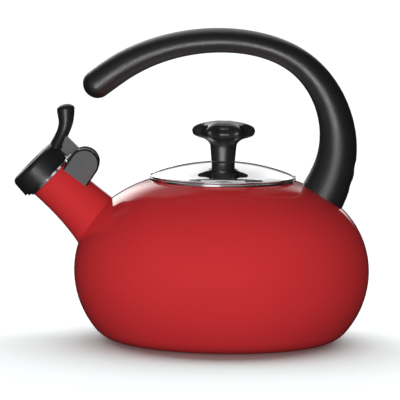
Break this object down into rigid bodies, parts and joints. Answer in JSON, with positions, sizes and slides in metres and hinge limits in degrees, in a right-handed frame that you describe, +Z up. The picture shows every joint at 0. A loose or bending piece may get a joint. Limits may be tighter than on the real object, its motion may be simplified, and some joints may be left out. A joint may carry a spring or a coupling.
{
  "type": "stovetop whistling kettle",
  "caption": "Squat round enamelled kettle with a flip-up whistle on its short spout, a lift-off domed steel lid with a fluted knob, and an open C-shaped handle.",
  "frame": {"origin": "centre of the flat base, on the surface the kettle stands on", "axes": "+Z up, spout towards -X, handle's root on the +X side, +Y across the kettle"},
  "size_m": [0.2459, 0.204, 0.2163],
  "materials": {
    "enamel": "gloss",
    "polished_steel": "polished",
    "plain_steel": "satin",
    "black_moulding": "satin",
    "spring_steel": "satin",
    "brass": "satin"
  },
  "bodies": {
    "kettle": {"body_shell": "enamel", "base_plate": "enamel", "spout_tube": "enamel", "spout_rim_ring": "polished_steel", "neck_trim_ring": "polished_steel", "handle_bracket": "plain_steel", "handle_grip": "black_moulding", "handle_screws": "plain_steel", "handle_washers": "plain_steel", "whistle_bracket": "plain_steel", "hinge_housing": "black_moulding", "hinge_pin": "plain_steel", "hinge_spring": "spring_steel"},
    "whistle": {"whistle_cap": "black_moulding", "whistle_front_plate": "plain_steel", "whistle_rear_plate": "plain_steel", "whistle_spacer": "plain_steel"},
    "lid": {"lid_dome": "polished_steel", "lid_skirt": "plain_steel", "lid_knob": "black_moulding", "knob_insert": "brass", "knob_screw": "plain_steel", "knob_washer": "plain_steel"}
  },
  "joints": [
    {"name": "whistle_hinge", "type": "hinge", "parent": "kettle", "child": "whistle", "pos_m": [-0.09546, 0, 0.12041], "axis": [0, 1, 0], "range_deg": [0, 60], "stiffness_Nm_per_rad": 0.05, "springref_deg": -45.84, "deforming": ["hinge_spring"]},
    {"name": "lid_lift", "type": "slide", "parent": "kettle", "child": "lid", "axis": [0, 0, 1], "range_m": [0, 0.04]}
  ]
}
